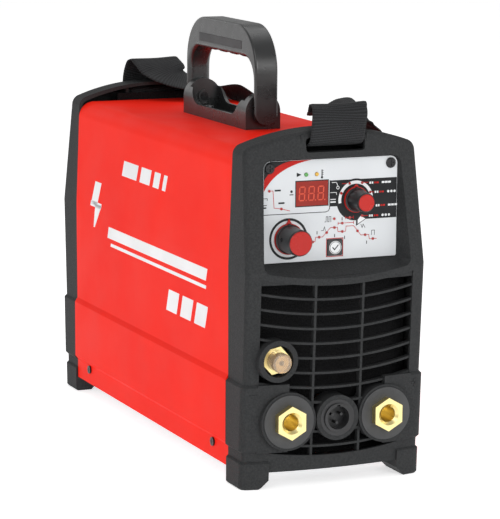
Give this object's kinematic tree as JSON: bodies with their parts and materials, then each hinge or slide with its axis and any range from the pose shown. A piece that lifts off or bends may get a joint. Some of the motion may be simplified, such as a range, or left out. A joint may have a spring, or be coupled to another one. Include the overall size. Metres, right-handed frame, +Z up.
{
  "type": "portable tig welding inverter",
  "caption": "Portable TIG welding inverter: red steel cover, dark end shells, recessed control panel, panel sockets, folding handle, strap.",
  "frame": {"origin": "middle of the footprint at the level of the feet", "axes": "+Z up, front with the control panel and the sockets at -Y, +X to the right seen from the front"},
  "size_m": [0.1694, 0.4783, 0.3645],
  "materials": {
    "cover_red": "semi-gloss red powder coat",
    "shell_grey": "textured dark grey",
    "fascia": "printed silver overlay",
    "tray": "galvanised sheet",
    "screw_black": "black zinc",
    "screw_steel": "zinc plated",
    "plate": "blank plate",
    "window_red": "red filter",
    "display": "black module",
    "lamp_green": "diffused lens",
    "lamp_amber": "diffused lens",
    "lamp_red": "diffused lens",
    "pcb": "green solder mask",
    "knob_black": "satin black",
    "cap_red": "gloss red",
    "button": "satin dark grey",
    "brass": "machined brass",
    "insulator": "moulded grey",
    "socket_black": "moulded black",
    "cap_clear": "translucent protective cap",
    "handle_black": "satin black",
    "pad": "soft grip",
    "steel": "turned steel",
    "switch": "gloss black",
    "fan_plastic": "moulded black",
    "alu": "extruded aluminium",
    "ferrite": "ferrite",
    "winding": "enamelled copper",
    "capacitor": "sleeved aluminium can",
    "module": "moulded epoxy",
    "potted": "potted box",
    "copper": "copper bar",
    "hose": "flexible hose",
    "webbing": "woven webbing",
    "keeper": "moulded black"
  },
  "bodies": {
    "machine": {"steel_cover": "cover_red", "front_shell": "shell_grey", "rear_shell": "shell_grey", "chassis_tray": "tray", "cover_screws": "screw_black", "base_screws": "screw_steel", "rating_plate": "plate", "control_panel": "fascia", "panel_screws": "screw_black", "display_window": "window_red", "display_module": "display", "power_lamp": "lamp_green", "heat_lamp": "lamp_amber", "function_lamps": "lamp_red", "control_board": "pcb", "current_encoder": "module", "mode_switch": "module", "button_switch": "module", "negative_socket_insulator": "insulator", "positive_socket_insulator": "insulator", "negative_socket": "brass", "positive_socket": "brass", "torch_control_socket": "socket_black", "torch_control_pins": "socket_black", "gas_outlet": "brass", "handle_bracket": "handle_black", "handle_pins": "screw_black", "bracket_screws": "screw_steel", "switch_frame": "switch", "cable_gland": "socket_black", "gland_nut": "socket_black", "gas_inlet": "brass", "fan_frame": "fan_plastic", "fan_screws": "screw_steel", "heatsink": "alu", "power_modules": "module", "power_board": "pcb", "bulk_capacitors": "capacitor", "input_rectifier": "alu", "transformer_core": "ferrite", "transformer_windings": "winding", "output_inductor": "winding", "hf_unit": "potted", "output_busbars": "copper", "gas_valve": "brass", "gas_hose": "hose", "carry_strap": "webbing", "strap_keeper": "keeper"},
    "knob_current": {"current_knob": "knob_black", "current_knob_cap": "cap_red", "current_shaft": "steel"},
    "knob_mode": {"mode_knob": "knob_black", "mode_knob_cap": "cap_red", "mode_shaft": "steel"},
    "button_set": {"set_button": "button"},
    "cap_outlet": {"outlet_cap": "cap_clear"},
    "carry_handle": {"handle": "handle_black", "handle_pads": "pad"},
    "rocker": {"switch_rocker": "switch"},
    "rotor": {"fan_rotor": "fan_plastic"}
  },
  "joints": [
    {"name": "current_knob_turn", "type": "hinge", "parent": "machine", "child": "knob_current", "pos_m": [-0.0375, -0.208, 0.2043], "axis": [0, -1, 0], "continuous": true},
    {"name": "mode_knob_turn", "type": "hinge", "parent": "machine", "child": "knob_mode", "pos_m": [0.0223, -0.208, 0.2335], "axis": [0, -1, 0], "range_deg": [-150, 150]},
    {"name": "set_button_press", "type": "slide", "parent": "machine", "child": "button_set", "axis": [0, 1, 0], "range_m": [0, 0.0005], "stiffness_N_per_m": 400},
    {"name": "outlet_cap_pull", "type": "slide", "parent": "machine", "child": "cap_outlet", "axis": [0, -1, 0], "range_m": [0, 0.03]},
    {"name": "handle_fold", "type": "hinge", "parent": "machine", "child": "carry_handle", "pos_m": [0, 0.002, 0.291], "axis": [0, 1, 0], "range_deg": [-90, 90]},
    {"name": "power_switch_rock", "type": "hinge", "parent": "machine", "child": "rocker", "pos_m": [-0.038, 0.2235, 0.222], "axis": [1, 0, 0], "range_deg": [-20, 0]},
    {"name": "fan_spin", "type": "hinge", "parent": "machine", "child": "rotor", "pos_m": [0, 0.1995, 0.105], "axis": [0, 1, 0], "continuous": true}
  ]
}
